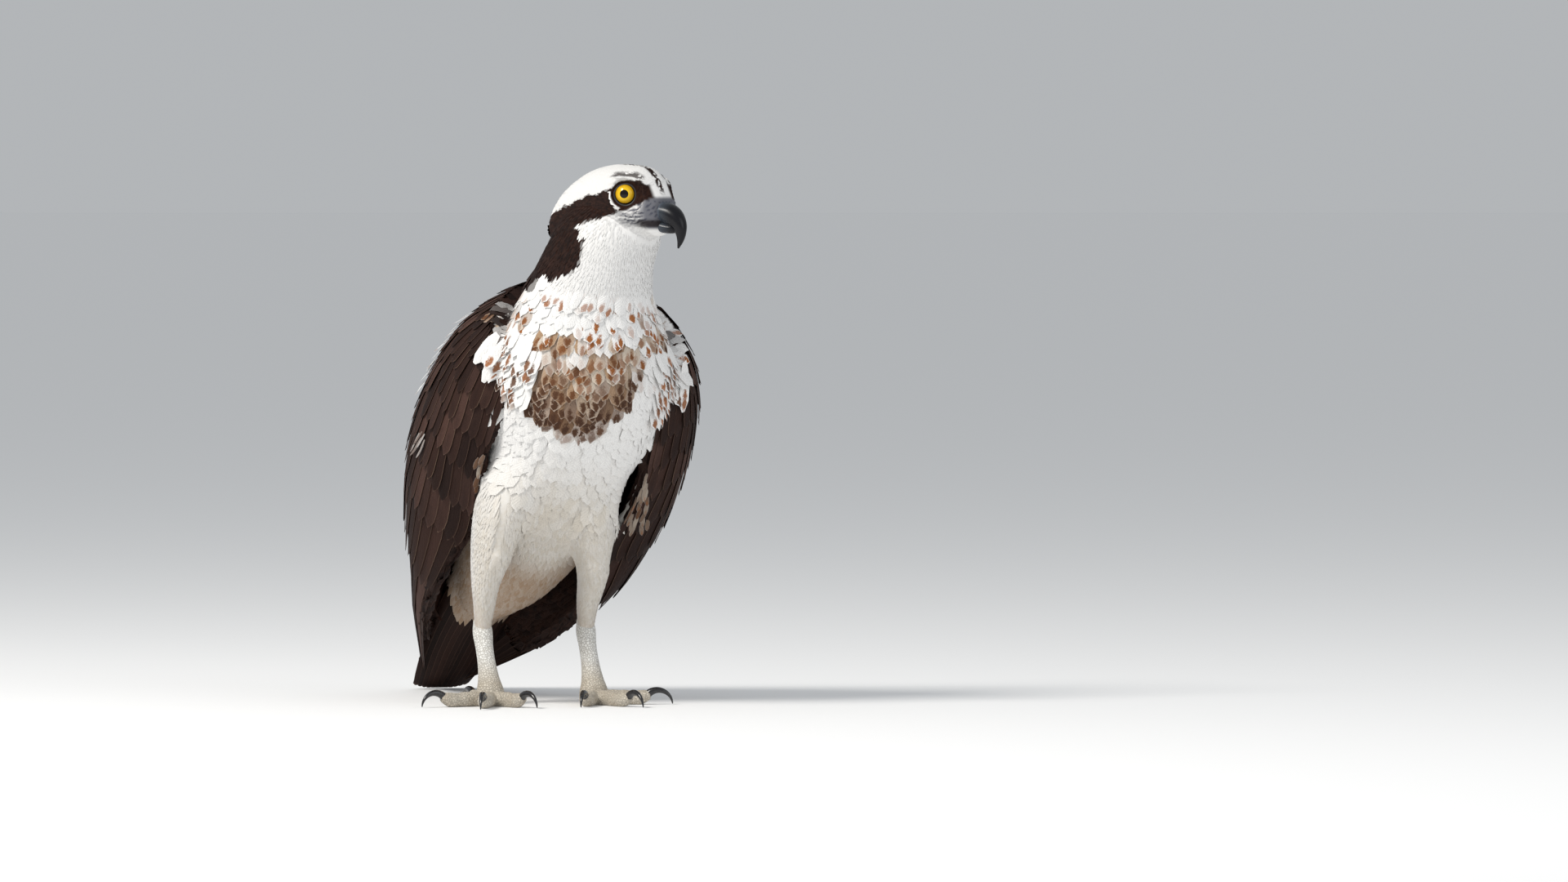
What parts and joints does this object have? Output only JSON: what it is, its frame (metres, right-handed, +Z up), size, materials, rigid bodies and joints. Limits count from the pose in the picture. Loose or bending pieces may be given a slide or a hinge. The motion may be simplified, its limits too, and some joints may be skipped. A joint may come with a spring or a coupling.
{
  "type": "standing osprey model",
  "caption": "Life-size still osprey standing upright on two feet and the end of its tail, wings folded, head turned to its left, with feathered body, hooked bill and curved claws",
  "frame": {"origin": "on the floor, at the middle of the model's outline seen from above", "axes": "+Z up; the body faces -Y, so the bird's left side is +X and its tail points to +Y; the head is turned toward +X"},
  "size_m": [0.2223, 0.439, 0.4176],
  "materials": {
    "feather_white": "matt feathered coat, white with rufous and brown marks on the breast",
    "feather_brown": "matt feathered coat, dark chocolate brown with paler edges",
    "bill": "smooth dark horn with a slight sheen",
    "claw": "smooth black horn with a sheen",
    "eye": "glossy yellow iris with a round black pupil",
    "scaly_skin": "matt scaly skin, pale greenish grey"
  },
  "bodies": {
    "root": {"head": "feather_white", "neck": "feather_white", "torso": "feather_white", "tail": "feather_brown", "wing_left": "feather_brown", "wing_right": "feather_brown", "bill_upper": "bill", "bill_lower": "bill", "eye_left": "eye", "eye_right": "eye", "thigh_left": "feather_white", "tarsus_left": "scaly_skin", "toe_left_1": "scaly_skin", "claw_left_1": "claw", "toe_left_2": "scaly_skin", "claw_left_2": "claw", "toe_left_3": "scaly_skin", "claw_left_3": "claw", "toe_left_4": "scaly_skin", "claw_left_4": "claw", "thigh_right": "feather_white", "tarsus_right": "scaly_skin", "toe_right_1": "scaly_skin", "claw_right_1": "claw", "toe_right_2": "scaly_skin", "claw_right_2": "claw", "toe_right_3": "scaly_skin", "claw_right_3": "claw", "toe_right_4": "scaly_skin", "claw_right_4": "claw"}
  },
  "joints": []
}
